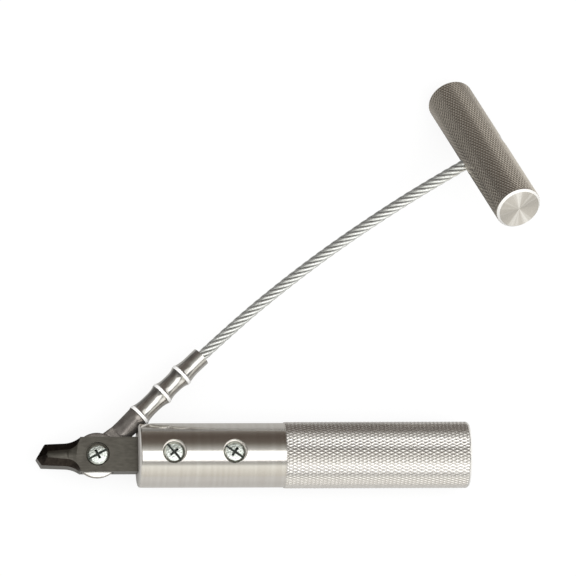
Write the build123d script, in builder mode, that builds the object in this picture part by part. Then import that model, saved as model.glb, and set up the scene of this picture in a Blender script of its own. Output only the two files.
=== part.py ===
"""Windscreen cut-out pull knife: knurled handle, black cutter head, wire rope and T pull handle.

Frame (mm): the origin is on the handle's axis at the middle of the knurled grip. +X runs along
the handle to its rear end, +Z is square to the flat faces of the cutter head and points up, and
the tool lies on the plane z = -14.1: on its grip and on the lower end of the pull handle.
"""
import os
from math import atan, cos, degrees, pi, radians, sin, sqrt, tan

from build123d import *

os.makedirs("parts", exist_ok=True)

# ---- driving dimensions -------------------------------------------------------------------
GRIP_D = 28.2            # across the knurl, which stands a little proud of the 28 mm bar
BARREL_D = 27.3          # smooth front part of the handle
HANDLE_LENGTH = 141.0
GRIP_LENGTH = 79.0

HEAD_THICKNESS = 9.0
HEAD_WIDTH = 14.8
HEAD_FIT = 0.05          # gap all round between the tang and its pocket
TANG_LENGTH = 48.0       # inside the handle
SHOULDER_OUT = 24.5      # from the handle's front face to the shoulder of the blade
TIP_OUT = 43.0           # from the handle's front face to the point
BEVEL_DEPTH = 2.0

PIVOT_OUT = 17.2         # from the handle's front face to the rope pivot
EYE_R = 9.7
EYE_THICKNESS = 2.8
SLOT_WIDTH = 3.2
ROPE_ANGLE = 43.4        # of the rope eye above the handle's axis, at rest
ROPE_SWING = 90.0        # from rest to the blade's shoulder

ROPE_D = 4.8
FERRULE_START = 13.0     # distances along the ferrule's axis, from the pivot
FERRULE_END = 61.8
RIB_PLACES = (25.0, 38.5, 49.9)

PULL_D = 20.0
PULL_LENGTH = 80.0
PULL_CHAMFER = 0.8
PULL_TILT = 40.2         # of the pull handle's axis above the table
PULL_HEADING = -68.7     # of its upper end, from +X towards +Y
ROPE_HEADING = 28.6      # of the rope where it enters the pull handle
PULL_BEHIND_FRONT = 148.0
PULL_ASIDE = 126.6

SCREW_PLACES = (14.7, 40.4)   # from the handle's front face
SCREW_D = 5.0
SCREW_HEAD_D = 9.3
SCREW_HEAD_H = 2.9
SCREW_SINK = 2.6         # top of the head below the barrel's surface
SCREW_REACH = 18.0       # from under the head to the screw's end
SCREW_HOLE_DEPTH = 6.5   # threaded part, below the tang
COUNTERBORE_GAP = 0.65   # radial, round a screw head in the handle
RUNNING_GAP = 0.08       # radial, between a pin and the hole that turns on it
STILL_GAP = 0.05         # radial, between a fixed pin and its hole

# ---- worked-out places --------------------------------------------------------------------
X_REAR = GRIP_LENGTH / 2
X_SHOULDER = -GRIP_LENGTH / 2
X_FRONT = X_REAR - HANDLE_LENGTH
X_PIVOT = X_FRONT - PIVOT_OUT
GRIP_R = GRIP_D / 2
BARREL_R = BARREL_D / 2
HEAD_TOP = HEAD_THICKNESS / 2
HEAD_SIDE = HEAD_WIDTH / 2
BEVEL_FOOT = HEAD_TOP - BEVEL_DEPTH
ROPE_R = ROPE_D / 2
PULL_R = PULL_D / 2

ferrule_axis = Vector(cos(radians(ROPE_ANGLE)), sin(radians(ROPE_ANGLE)), 0)
pivot = Vector(X_PIVOT, 0, 0)

pull_axis = Vector(
    cos(radians(PULL_TILT)) * cos(radians(PULL_HEADING)),
    cos(radians(PULL_TILT)) * sin(radians(PULL_HEADING)),
    sin(radians(PULL_TILT)),
)
# The rope enters square to the pull handle, which sets how steeply it climbs there.
rope_climb = atan(-cos(radians(ROPE_HEADING - PULL_HEADING)) / tan(radians(PULL_TILT)))
rope_entry = Vector(
    cos(rope_climb) * cos(radians(ROPE_HEADING)),
    cos(rope_climb) * sin(radians(ROPE_HEADING)),
    sin(rope_climb),
)
# The lower end of the pull handle stands on the same plane as the grip.
pull_height = (PULL_LENGTH / 2 - PULL_CHAMFER) * pull_axis.Z + PULL_R * sqrt(1 - pull_axis.Z**2)
pull_centre = Vector(X_FRONT + PULL_BEHIND_FRONT, PULL_ASIDE, pull_height - GRIP_R)


def along_ferrule(distance):
    """Point on the ferrule's axis, at this distance from the pivot."""
    return pivot + ferrule_axis * distance


def finish(part, name):
    """Label a finished piece and write it."""
    part.label = name
    export_step(part, f"parts/{name}.step")
    print(f"{name:14s} {part.volume / 1000:8.3f} cm3  {len(part.solids())} solid(s)")


# ---- handle: one aluminium bar, smooth in front and knurled behind -------------------------
FRONT_CHAMFER = 0.7
REAR_CHAMFER = 1.0
START_CHAMFER = 0.25
NOTCH_LENGTH = 7.0       # relief in the top of the front end, where the ferrule folds in
NOTCH_R = 4.9
NOTCH_FOOT = 7.2         # height of its floor above the handle's axis
POCKET_SPARE = 1.0       # past the end of the tang

with BuildPart() as handle_body:
    with BuildSketch(Plane.XZ):
        with BuildLine():
            Polyline(
                (X_FRONT, 0),
                (X_FRONT, BARREL_R - FRONT_CHAMFER),
                (X_FRONT + FRONT_CHAMFER, BARREL_R),
                (X_SHOULDER, BARREL_R),
                (X_SHOULDER, GRIP_R - START_CHAMFER),
                (X_SHOULDER + START_CHAMFER, GRIP_R),
                (X_REAR - REAR_CHAMFER, GRIP_R),
                (X_REAR, GRIP_R - REAR_CHAMFER),
                (X_REAR, 0),
                close=True,
            )
        make_face()
    revolve(axis=Axis.X)
    # pocket for the tang, open at the front face
    with BuildSketch(Plane.YZ.offset(X_FRONT)):
        Rectangle(HEAD_WIDTH + 2 * HEAD_FIT, HEAD_THICKNESS + 2 * HEAD_FIT)
    extrude(amount=TANG_LENGTH + POCKET_SPARE, mode=Mode.SUBTRACT)
    # notch above the pocket, milled from the side that the rope folds to
    with BuildSketch(Plane.XZ.offset(-NOTCH_FOOT)):
        with Locations((X_FRONT, 0)):
            Rectangle(2 * (NOTCH_LENGTH - NOTCH_R), 2 * NOTCH_R)
        with Locations((X_FRONT + NOTCH_LENGTH - NOTCH_R, 0)):
            Circle(NOTCH_R)
    extrude(amount=-BARREL_R, mode=Mode.SUBTRACT)
    # counterbored screw holes, through the pocket into the lower wall
    for place in SCREW_PLACES:
        with BuildSketch(Plane.XY.offset(BARREL_R - SCREW_SINK - SCREW_HEAD_H)):
            with Locations((X_FRONT + place, 0)):
                Circle(SCREW_HEAD_D / 2 + COUNTERBORE_GAP)
        extrude(amount=GRIP_R, mode=Mode.SUBTRACT)
        with BuildSketch(Plane.XY.offset(-HEAD_TOP - SCREW_HOLE_DEPTH)):
            with Locations((X_FRONT + place, 0)):
                Circle(SCREW_D / 2 + STILL_GAP)
        extrude(amount=GRIP_R + SCREW_HOLE_DEPTH, mode=Mode.SUBTRACT)
finish(handle_body.part, "handle_body")


# ---- cutter head: black steel, tang, slotted pivot and bevelled blade ----------------------
BLADE_ROOT_OUT = 20.5    # where the blade's block joins the body, short of the shoulder
BLADE_FLARE_OUT = 31.0   # where the blade's side leaves the shoulder's curve
BLADE_SHOULDER_MID = (27.3, 5.7)
BLADE_HALF = (4.8, 4.45)      # half-widths behind and at the corners of the tip, under the bevels
TIP_CORNERS_OUT = (39.4, 40.8)     # on the rope's side and on the other
TIP_OFFSET = -1.4        # of the point, aside from the middle
BACK_FLARE = 0.5         # the blade's back face is this much wider each side
RIDGE_HALF = (1.95, 1.3)      # half-widths of the narrow flat on top
RIDGE_OUT = 38.9         # its end, at the middle
RIDGE_CORNERS_OUT = (38.2, 38.2)
RIDGE_OFFSET = -0.1
RIDGE_SHOULDER_MID = (26.8, 3.3)
SLOT_ROUND = 0.4         # radial, round the rope eye
SLOT_SWEEP = (20.0, 10.8)     # out past the side of the head, and across the neck of the eye
SHOULDER_R = 3.0         # of the pivot screw, in the eye
SEAT_DEPTH = 1.5         # of the pivot screw's head, in the top of the head
SEAT_GAP = 0.5           # radial, round the pivot screw's head
TANG_HOLE_GAP = 0.25     # radial, round a handle screw


def blade_outline(flare_side, tip_side, tip_out, corners_out, tip_y, shoulder_mid):
    """Closed outline of the blade at one level, in x and y; the shoulder's curve is an arc."""
    root = X_FRONT - BLADE_ROOT_OUT
    with BuildLine() as line:
        ends = []
        for side, corner_out in zip((1, -1), corners_out):
            shoulder = (X_FRONT - SHOULDER_OUT, side * HEAD_SIDE)
            middle = (X_FRONT - shoulder_mid[0], side * shoulder_mid[1])
            flare = (X_FRONT - BLADE_FLARE_OUT, side * flare_side)
            corner = (X_FRONT - corner_out, side * tip_side)
            Line((root, side * HEAD_SIDE), shoulder)
            ThreePointArc(shoulder, middle, flare)
            Line(flare, corner)
            Line(corner, (X_FRONT - tip_out, tip_y))
            ends.append((root, side * HEAD_SIDE))
        Line(*ends)
    return line


with BuildPart() as cutter_head:
    # tang and body
    with BuildSketch(Plane.XY.offset(-HEAD_TOP)):
        with Locations((X_FRONT - BLADE_ROOT_OUT, 0)):
            Rectangle(
                TANG_LENGTH + BLADE_ROOT_OUT, HEAD_WIDTH, align=(Align.MIN, Align.CENTER)
            )
    extrude(amount=HEAD_THICKNESS)
    # blade: plain sides below, bevels to a narrow flat on top
    back_half = [half + BACK_FLARE for half in BLADE_HALF]
    back_mid = (BLADE_SHOULDER_MID[0], BLADE_SHOULDER_MID[1] + BACK_FLARE / 2)
    levels = (
        (-HEAD_TOP, (*back_half, TIP_OUT, TIP_CORNERS_OUT, TIP_OFFSET, back_mid)),
        (BEVEL_FOOT, (*BLADE_HALF, TIP_OUT, TIP_CORNERS_OUT, TIP_OFFSET, BLADE_SHOULDER_MID)),
        (HEAD_TOP, (*RIDGE_HALF, RIDGE_OUT, RIDGE_CORNERS_OUT, RIDGE_OFFSET, RIDGE_SHOULDER_MID)),
    )
    for lower, upper in zip(levels[:-1], levels[1:]):
        with BuildSketch(Plane.XY.offset(lower[0])):
            add(blade_outline(*lower[1]).line)
            make_face()
        with BuildSketch(Plane.XY.offset(upper[0])):
            add(blade_outline(*upper[1]).line)
            make_face()
        loft(ruled=True)
    # slot for the rope eye, as wide as its whole swing
    with BuildSketch(Plane.XY.offset(-SLOT_WIDTH / 2)):
        with Locations((X_PIVOT, 0)):
            Circle(EYE_R + SLOT_ROUND)
            for angle in (ROPE_ANGLE, ROPE_ANGLE + ROPE_SWING / 2, ROPE_ANGLE + ROPE_SWING):
                with Locations(Location((0, 0, 0), angle)):
                    Rectangle(*SLOT_SWEEP, align=(Align.MIN, Align.CENTER))
    extrude(amount=SLOT_WIDTH, mode=Mode.SUBTRACT)
    # pivot hole: counterbore, shoulder hole and thread
    with Locations((X_PIVOT, 0, HEAD_TOP)):
        CounterBoreHole(
            SHOULDER_R + STILL_GAP, SCREW_HEAD_D / 2 + SEAT_GAP, SEAT_DEPTH, HEAD_TOP + SLOT_WIDTH / 2
        )
        Hole(SCREW_D / 2 + STILL_GAP)
    with Locations(*[(X_FRONT + place, 0, HEAD_TOP) for place in SCREW_PLACES]):
        Hole(SCREW_D / 2 + TANG_HOLE_GAP)
finish(cutter_head.part, "cutter_head")


# ---- screws: pan heads with a slot and a cross recess --------------------------------------
HEAD_ROUND = 1.1         # radius of the head's top edge
SCREW_SLOT = (1.1, 1.1)  # width, depth
CROSS = (1.2, 4.6, 1.6)  # width, length, depth
HANDLE_SLOT_ANGLES = (-50, -35)
PIVOT_SLOT_ANGLE = 28
PIVOT_HEAD_PROUD = 0.5   # above the top of the cutter head
PIVOT_END_GAP = 0.3      # short of the bottom of the cutter head


def pan_screw(seats, heights, radii):
    """Screws along Z at each (x, slot angle); heights and radii go from the head's top down."""
    places = [Location((x, 0, 0), angle) for x, angle in seats]
    with BuildPart() as screws:
        for top, bottom, radius in zip(heights[:-1], heights[1:], radii):
            with BuildSketch(Plane.XY.offset(bottom)):
                with Locations(*places):
                    Circle(radius)
            extrude(amount=top - bottom)
        fillet(screws.edges().group_by(Axis.Z)[-1], HEAD_ROUND)
        with BuildSketch(Plane.XY.offset(heights[0])):
            with Locations(*places):
                Rectangle(2 * radii[0], SCREW_SLOT[0])
        extrude(amount=-SCREW_SLOT[1], mode=Mode.SUBTRACT)
        with BuildSketch(Plane.XY.offset(heights[0])):
            with Locations(*places):
                Rectangle(CROSS[1], CROSS[0])
                Rectangle(CROSS[0], CROSS[1])
        extrude(amount=-CROSS[2], mode=Mode.SUBTRACT)
    return screws


head_seat = BARREL_R - SCREW_SINK - SCREW_HEAD_H
handle_screws = pan_screw(
    seats=[(X_FRONT + place, angle) for place, angle in zip(SCREW_PLACES, HANDLE_SLOT_ANGLES)],
    heights=(head_seat + SCREW_HEAD_H, head_seat, head_seat - SCREW_REACH),
    radii=(SCREW_HEAD_D / 2, SCREW_D / 2),
)
finish(handle_screws.part, "handle_screws")

pivot_screw = pan_screw(
    seats=[(X_PIVOT, PIVOT_SLOT_ANGLE)],
    heights=(
        HEAD_TOP + PIVOT_HEAD_PROUD, HEAD_TOP - SEAT_DEPTH, -SLOT_WIDTH / 2, -HEAD_TOP + PIVOT_END_GAP
    ),
    radii=(SCREW_HEAD_D / 2, SHOULDER_R, SCREW_D / 2),
)
finish(pivot_screw.part, "pivot_screw")


# ---- rope eye: flat round eye and neck, with a tongue inside the ferrule -------------------
NECK_WIDTH = 8.8         # where it meets the ferrule
NECK_ROOT_WIDTH = 10.0   # where it leaves the eye
TONGUE_END = 42.0        # distance from the pivot
TONGUE_WIDTH = 4.0
TONGUE_THICKNESS = 1.2
NECK_BACK = 1.0          # the neck narrows from this far inside the eye's rim
EYE_ROUND = 1.0          # radius of the eye's rim

eye_plane = Plane(origin=pivot, x_dir=ferrule_axis, z_dir=(0, 0, 1))

with BuildPart() as rope_eye:
    with BuildSketch(eye_plane.offset(-EYE_THICKNESS / 2)):
        Circle(EYE_R)
        with BuildLine():
            Polyline(
                (0, NECK_ROOT_WIDTH / 2),
                (EYE_R - NECK_BACK, NECK_ROOT_WIDTH / 2),
                (FERRULE_START, NECK_WIDTH / 2),
                (FERRULE_START, -NECK_WIDTH / 2),
                (EYE_R - NECK_BACK, -NECK_ROOT_WIDTH / 2),
                (0, -NECK_ROOT_WIDTH / 2),
                close=True,
            )
        make_face()
    extrude(amount=EYE_THICKNESS)
    rim = rope_eye.edges().filter_by(GeomType.CIRCLE)
    fillet(rim, EYE_ROUND)
    with BuildSketch(eye_plane.offset(-TONGUE_THICKNESS / 2)):
        with Locations((FERRULE_START - EYE_ROUND, 0)):
            Rectangle(
                TONGUE_END - FERRULE_START + EYE_ROUND,
                TONGUE_WIDTH,
                align=(Align.MIN, Align.CENTER),
            )
    extrude(amount=TONGUE_THICKNESS)
    with Locations(pivot):
        Hole(SHOULDER_R + RUNNING_GAP)
finish(rope_eye.part, "rope_eye")


# ---- ferrule: sleeve crimped between three ribs, flat where it takes the eye's tongue ------
START_R = 4.4            # where it takes the eye
SLEEVE_R = 4.6           # at the foot of each rib
WAIST_R = 4.25           # in the middle of a crimp
MOUTH_R = 4.1            # at the rope's end
RIB_R = 5.05
RIB_HALF = 0.8
RIB_SLOPE = 0.4          # length of the side of a rib
MOUTH_RUN = 4.0          # from the last rib to the straight mouth
FLAT_RUN = 3.0           # flat as the eye over this length, clear of the head's cheeks
FLAT_END = 24.0          # the flattened start is round again here
CUT_SPARE = 1.0          # a cutting shape reaches this far past what it cuts

with BuildPart() as ferrule:
    profile_plane = Plane(origin=pivot, x_dir=ferrule_axis, z_dir=ferrule_axis.cross(Vector(0, 0, 1)))
    with BuildSketch(profile_plane):
        with BuildLine():
            Line((FERRULE_START, 0), (FERRULE_START, START_R))
            last = (FERRULE_START, START_R)
            for number, place in enumerate(RIB_PLACES):
                foot = (place - RIB_HALF - RIB_SLOPE, SLEEVE_R)
                if number == 0:
                    Line(last, foot)
                else:
                    ThreePointArc(last, ((last[0] + foot[0]) / 2, WAIST_R), foot)
                Line(foot, (place - RIB_HALF, RIB_R))
                Line((place - RIB_HALF, RIB_R), (place + RIB_HALF, RIB_R))
                last = (place + RIB_HALF + RIB_SLOPE, SLEEVE_R)
                Line((place + RIB_HALF, RIB_R), last)
            Line(last, (last[0] + MOUTH_RUN, MOUTH_R))
            Line((last[0] + MOUTH_RUN, MOUTH_R), (FERRULE_END, MOUTH_R))
            Line((FERRULE_END, MOUTH_R), (FERRULE_END, 0))
            Line((FERRULE_END, 0), (FERRULE_START, 0))
        make_face()
    revolve(axis=Axis(pivot, ferrule_axis))
    # flats above and below the start, no thicker than the eye where the head's cheeks are
    for side in (1, -1):
        with BuildSketch(profile_plane):
            Polygon(
                (FERRULE_START - CUT_SPARE, side * EYE_THICKNESS / 2),
                (FERRULE_START + FLAT_RUN, side * EYE_THICKNESS / 2),
                (FLAT_END, side * RIB_R),
                (FLAT_END, side * (RIB_R + CUT_SPARE)),
                (FERRULE_START - CUT_SPARE, side * (RIB_R + CUT_SPARE)),
                align=None,
            )
        extrude(amount=2 * RIB_R, both=True, mode=Mode.SUBTRACT)
    # inside: flat slot for the tongue, round bore for the rope
    with BuildSketch(Plane(origin=along_ferrule(FERRULE_START), x_dir=(0, 0, 1), z_dir=ferrule_axis)):
        Rectangle(TONGUE_THICKNESS + 2 * STILL_GAP, TONGUE_WIDTH + 2 * STILL_GAP)
    extrude(amount=TONGUE_END - FERRULE_START, mode=Mode.SUBTRACT)
    with BuildSketch(Plane(origin=along_ferrule(TONGUE_END), z_dir=ferrule_axis)):
        Circle(ROPE_R + STILL_GAP)
    extrude(amount=FERRULE_END - TONGUE_END, mode=Mode.SUBTRACT)
finish(ferrule.part, "ferrule")


# ---- wire rope: straight runs joined by arcs as large as the runs allow --------------------
STOP_SEAT = 2.0          # along the rope's entry direction, from the pull handle's axis
STOP_LENGTH = 7.0
STOP_R = 3.4
STOP_CHAMFER = 0.5
ROPE_END = 6.0
ROPE_STRAIGHT_TO = 78.0  # distance from the pivot at which the rope leaves the ferrule's line
ENTRY_STRAIGHT = 26.0    # straight run into the pull handle
ROPE_BENDS = ((68.2, 76.65, 4.1), (94.8, 95.2, 9.6))     # behind the front face, aside and up
BORE_GAP = 0.1           # radial, round the rope in the pull handle
RADIUS_SHARE = 0.45      # of the shorter run at a corner that its arc takes up

route = [
    along_ferrule(TONGUE_END),
    along_ferrule(ROPE_STRAIGHT_TO),
    Vector(X_FRONT + ROPE_BENDS[0][0], *ROPE_BENDS[0][1:]),
    Vector(X_FRONT + ROPE_BENDS[1][0], *ROPE_BENDS[1][1:]),
    pull_centre - rope_entry * ENTRY_STRAIGHT,
    pull_centre + rope_entry * ROPE_END,
]


def corner_radii(points):
    """The largest radius that each corner's two runs leave room for."""
    radii = []
    for before, corner, after in zip(points[:-2], points[1:-1], points[2:]):
        run_in, run_out = corner - before, after - corner
        half_turn = radians(run_in.get_angle(run_out)) / 2
        radii.append(RADIUS_SHARE * min(run_in.length, run_out.length) / tan(half_turn))
    return radii


with BuildPart() as wire_rope:
    radii = corner_radii(route)
    with BuildLine() as rope_line:
        FilletPolyline(*route, radius=radii)
    with BuildSketch(Plane(origin=route[0], z_dir=ferrule_axis)):
        Circle(ROPE_R)
    sweep(path=rope_line.wires()[0])
finish(wire_rope.part, "wire_rope")
rope_length = sum(edge.length for edge in rope_line.edges())
runs = [(b - a).length for a, b in zip(route[:-1], route[1:])]
print("rope: length", round(rope_length, 1), "radii", [round(r) for r in radii])
print("rope: runs", [round(run, 1) for run in runs])
print("rope: volume over section x length", wire_rope.part.volume / (pi * ROPE_R**2 * rope_length))


# ---- rope stop: sleeve pressed on the rope's end, in the pull handle's counterbore ---------
with BuildPart() as rope_stop:
    with BuildSketch(Plane(origin=pull_centre + rope_entry * (STOP_SEAT + STILL_GAP), z_dir=rope_entry)):
        Circle(STOP_R)
    extrude(amount=STOP_LENGTH)
    chamfer(rope_stop.edges().sort_by(Axis(pull_centre, rope_entry))[-1], STOP_CHAMFER)
    with BuildSketch(Plane(origin=pull_centre, z_dir=rope_entry)):
        Circle(ROPE_R + STILL_GAP)
    extrude(amount=ROPE_END, mode=Mode.SUBTRACT)
finish(rope_stop.part, "rope_stop")


# ---- pull handle: knurled bar, cross-bored for the rope ------------------------------------
with BuildPart() as pull_handle:
    with BuildSketch(Plane(origin=pull_centre, x_dir=rope_entry, z_dir=pull_axis)):
        Circle(PULL_R)
    extrude(amount=PULL_LENGTH / 2, both=True)
    ends = pull_handle.edges().filter_by(GeomType.CIRCLE)
    chamfer(ends, PULL_CHAMFER)
    with BuildSketch(Plane(origin=pull_centre, z_dir=rope_entry)):
        Circle(ROPE_R + BORE_GAP)
    extrude(amount=2 * PULL_R, both=True, mode=Mode.SUBTRACT)
    with BuildSketch(Plane(origin=pull_centre + rope_entry * STOP_SEAT, z_dir=rope_entry)):
        Circle(STOP_R + RUNNING_GAP)
    extrude(amount=PULL_R, mode=Mode.SUBTRACT)
finish(pull_handle.part, "pull_handle")

print("pivot", pivot, "pull centre", pull_centre)
print("rope entry", rope_entry, "pull axis", pull_axis, "climb", round(degrees(rope_climb), 2))
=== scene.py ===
"""Windscreen cut-out pull knife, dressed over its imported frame.

Lengths are written in millimetres, in the frame of the CAD model, and turned to metres as each
mesh is finished. Every piece keeps its place in its mesh. The camera, the rope's tree, the
materials, the floor and the room are in metres.
"""
from math import atan2, cos, hypot, pi, radians, sin, sqrt

import bmesh
import bpy
from mathutils import Matrix, Vector


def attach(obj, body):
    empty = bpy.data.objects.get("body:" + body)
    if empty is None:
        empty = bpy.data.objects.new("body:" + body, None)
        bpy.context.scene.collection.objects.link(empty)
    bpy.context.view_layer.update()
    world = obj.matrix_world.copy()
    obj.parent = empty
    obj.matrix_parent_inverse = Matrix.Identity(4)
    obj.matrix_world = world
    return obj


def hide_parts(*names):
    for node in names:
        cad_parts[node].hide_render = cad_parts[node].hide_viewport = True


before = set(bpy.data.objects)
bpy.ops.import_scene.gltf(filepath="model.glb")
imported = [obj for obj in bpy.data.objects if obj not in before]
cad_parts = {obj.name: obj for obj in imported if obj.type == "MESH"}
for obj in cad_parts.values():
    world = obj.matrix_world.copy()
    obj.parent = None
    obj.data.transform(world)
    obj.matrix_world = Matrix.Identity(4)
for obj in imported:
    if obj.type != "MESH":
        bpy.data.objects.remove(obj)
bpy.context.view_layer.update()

MM = 0.001
scene = bpy.context.scene

# ---- sizes, as in the CAD model ----
GRIP_R, BARREL_R = 14.1, 13.65
GRIP_LENGTH = 79.0
X_FRONT, X_SHOULDER = -101.5, -39.5
FRONT_EDGE = 1.2         # rounded off over this width
HEAD_SIDE, HEAD_TOP, HEAD_FIT = 7.4, 4.5, 0.05
POCKET_LENGTH = 49.0
NOTCH_LENGTH, NOTCH_R, NOTCH_FOOT = 7.0, 4.9, 7.2
SCREW_PLACES = (14.7, 40.4)
SCREW_SEAT = 8.15        # height of the underside of a handle screw's head
SCREW_HOLE_R, SCREW_HOLE_FOOT = 2.55, -11.0
COUNTERBORE_R = 5.15
X_PIVOT = -118.7
PIVOT_SEAT = 3.0         # height of the underside of the pivot screw's head
FERRULE_START, FERRULE_END = 13.0, 61.8
RIB_PLACES = (25.0, 38.5, 49.9)
TONGUE_END = 42.0
ROPE_R, ROPE_LENGTH = 2.4, 174.4
PULL_R, PULL_LENGTH, PULL_CHAMFER = 10.0, 80.0, 1.1
STOP_SEAT, STOP_R, STOP_BORE_R = 2.0, 3.4, 3.48

UP = Vector((0, 0, 1))
ALONG_HANDLE = Vector((1, 0, 0))
PIVOT = Vector((X_PIVOT, 0, 0))
FERRULE_AXIS = Vector((cos(radians(43.4)), sin(radians(43.4)), 0))
FERRULE_SIDE = UP.cross(FERRULE_AXIS)
PULL_CENTRE = Vector((46.5, 126.6, 18.8399))
PULL_AXIS = Vector((0.27745, -0.711622, 0.645458)).normalized()
ROPE_ENTRY = Vector((0.868223, 0.473371, 0.148689)).normalized()
ROPE_ROUTE = (           # from inside the ferrule to inside the pull handle
    PIVOT + FERRULE_AXIS * TONGUE_END,
    PIVOT + FERRULE_AXIS * 78.0,
    Vector((X_FRONT + 68.2, 76.65, 4.1)),
    Vector((X_FRONT + 94.8, 95.2, 9.6)),
    PULL_CENTRE - ROPE_ENTRY * 26.0,
    PULL_CENTRE + ROPE_ENTRY * 6.0,
)


# ---- small tools ----
def linear(hex_colour):
    """Linear RGBA of an sRGB hex colour."""
    out = []
    for start in (1, 3, 5):
        level = int(hex_colour[start:start + 2], 16) / 255
        out.append(level / 12.92 if level <= 0.04045 else ((level + 0.055) / 1.055) ** 2.4)
    return (*out, 1.0)


def add_node(tree, kind, inputs=None, **settings):
    """Add a node; an input is a value, an output to link, or a node whose first output to link."""
    node = tree.nodes.new(kind)
    for key, value in settings.items():
        setattr(node, key, value)
    for key, value in (inputs or {}).items():
        if isinstance(value, bpy.types.Node):
            value = value.outputs[0]
        if isinstance(value, bpy.types.NodeSocket):
            tree.links.new(value, node.inputs[key])
        else:
            node.inputs[key].default_value = value
    return node


def new_object(name, mesh, materials=()):
    """Put a mesh in the scene as an object of that name."""
    thing = bpy.data.objects.new(name, mesh)
    scene.collection.objects.link(thing)
    mesh.name = name
    if materials:
        mesh.materials.clear()
        for material in materials:
            mesh.materials.append(material)
    return thing


def result_of(thing):
    """Plain mesh of what an object's modifiers make."""
    graph = bpy.context.evaluated_depsgraph_get()
    return bpy.data.meshes.new_from_object(
        thing.evaluated_get(graph), preserve_all_data_layers=True, depsgraph=graph
    )


def apply_modifiers(thing):
    """Replace an object's mesh by what its modifiers make of it."""
    mesh = result_of(thing)
    thing.modifiers.clear()
    thing.data = mesh


def placing(origin, x_way, y_way, z_way):
    """Matrix that puts the origin there and turns the axes to these three ways."""
    turn = Matrix((x_way, y_way, z_way)).transposed()
    return Matrix.Translation(origin) @ turn.to_4x4()


def mesh_of(verts, faces):
    """Mesh with merged doubles and faces that point outwards."""
    mesh = bpy.data.meshes.new("part")
    mesh.from_pydata([tuple(v) for v in verts], [], faces)
    shape = bmesh.new()
    shape.from_mesh(mesh)
    bmesh.ops.remove_doubles(shape, verts=shape.verts, dist=1e-5)
    bmesh.ops.recalc_face_normals(shape, faces=shape.faces)
    shape.to_mesh(mesh)
    shape.free()
    return mesh


def turned(profile, around):
    """Solid turned about X from (x, radius) points that start and end at radius 0."""
    verts, faces, rings = [], [], []
    for x, radius in profile:
        count = around if radius else 1
        rings.append([len(verts) + k for k in range(count)])
        verts += [
            (x, radius * cos(2 * pi * k / around), radius * sin(2 * pi * k / around))
            for k in range(count)
        ]
    for low, high in zip(rings[:-1], rings[1:]):
        for k in range(around):
            after = (k + 1) % around
            if len(low) == 1:
                faces.append((low[0], high[k], high[after]))
            elif len(high) == 1:
                faces.append((low[after], low[k], high[0]))
            else:
                faces.append((low[k], high[k], high[after], low[after]))
    return mesh_of(verts, faces)


def prism(outline, bottom, top):
    """Solid from an outline in x and y, between two heights."""
    count = len(outline)
    verts = [(x, y, z) for z in (bottom, top) for x, y in outline]
    faces = [tuple(range(count)), tuple(range(count, 2 * count))]
    faces += [(k, (k + 1) % count, count + (k + 1) % count, count + k) for k in range(count)]
    return mesh_of(verts, faces)


def rectangle(start, end, half_width):
    """Outline of a rectangle about the X axis."""
    return ((start, -half_width), (end, -half_width), (end, half_width), (start, half_width))


def circle(x, radius, count):
    """Outline of a circle about a point of the X axis."""
    turns = [2 * pi * k / count for k in range(count)]
    return [(x + radius * cos(turn), radius * sin(turn)) for turn in turns]


def cut(thing, cutters, how="DIFFERENCE"):
    """Cut solids out of an object, or join them to it with UNION."""
    tools = [new_object("cutter", mesh) for mesh in cutters]
    for tool in tools:
        modifier = thing.modifiers.new("cut", "BOOLEAN")
        modifier.operation, modifier.solver, modifier.object = how, "EXACT", tool
    apply_modifiers(thing)
    for tool in tools:
        bpy.data.objects.remove(tool)


def break_edges(thing, width, sharp_angle, material=-1):
    """Bevel an object's sharp edges, with the material of that slot if one is given."""
    bevel = thing.modifiers.new("edges", "BEVEL")
    bevel.width, bevel.segments, bevel.material = width, 1, material
    bevel.limit_method, bevel.angle_limit = "ANGLE", radians(sharp_angle)
    bevel.use_clamp_overlap = True
    apply_modifiers(thing)


def shade(mesh, sharp_angle):
    """Smooth shading with sharp edges from this angle up."""
    mesh.shade_smooth()
    mesh.set_sharp_from_angle(angle=radians(sharp_angle))


def turning_map(mesh, origin, axis):
    """UV map for a turned piece: U runs along its axis, or outwards on an end; V runs round it."""
    side = axis.orthogonal().normalized()
    other = axis.cross(side)
    layer = mesh.uv_layers.new(name="turning")
    for face in mesh.polygons:
        middle = face.center - origin
        turn = atan2(middle.dot(other), middle.dot(side))
        on_end = abs(face.normal.dot(axis)) > 0.8
        for loop in face.loop_indices:
            place = mesh.vertices[mesh.loops[loop].vertex_index].co - origin
            across = hypot(place.dot(side), place.dot(other))
            away = atan2(place.dot(other), place.dot(side)) - turn
            away -= 2 * pi * round(away / (2 * pi))
            if across < 1e-4:
                away = 0.0
            along = across if on_end else place.dot(axis)
            layer.data[loop].uv = (along / 10, (turn + away) / (2 * pi))


def grow(name, tree, values, source=None):
    """Run a node tree on a new object and keep its result as a plain mesh."""
    maker = bpy.data.objects.new(name + "_maker", source or bpy.data.meshes.new(name + "_seed"))
    scene.collection.objects.link(maker)
    modifier = maker.modifiers.new("make", "NODES")
    modifier.node_group = tree
    sockets = {
        item.name: item.identifier
        for item in tree.interface.items_tree
        if item.in_out == "INPUT"
    }
    for key, value in values.items():
        modifier[sockets[key]] = value
    mesh = result_of(maker)
    bpy.data.objects.remove(maker)
    return mesh


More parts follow.
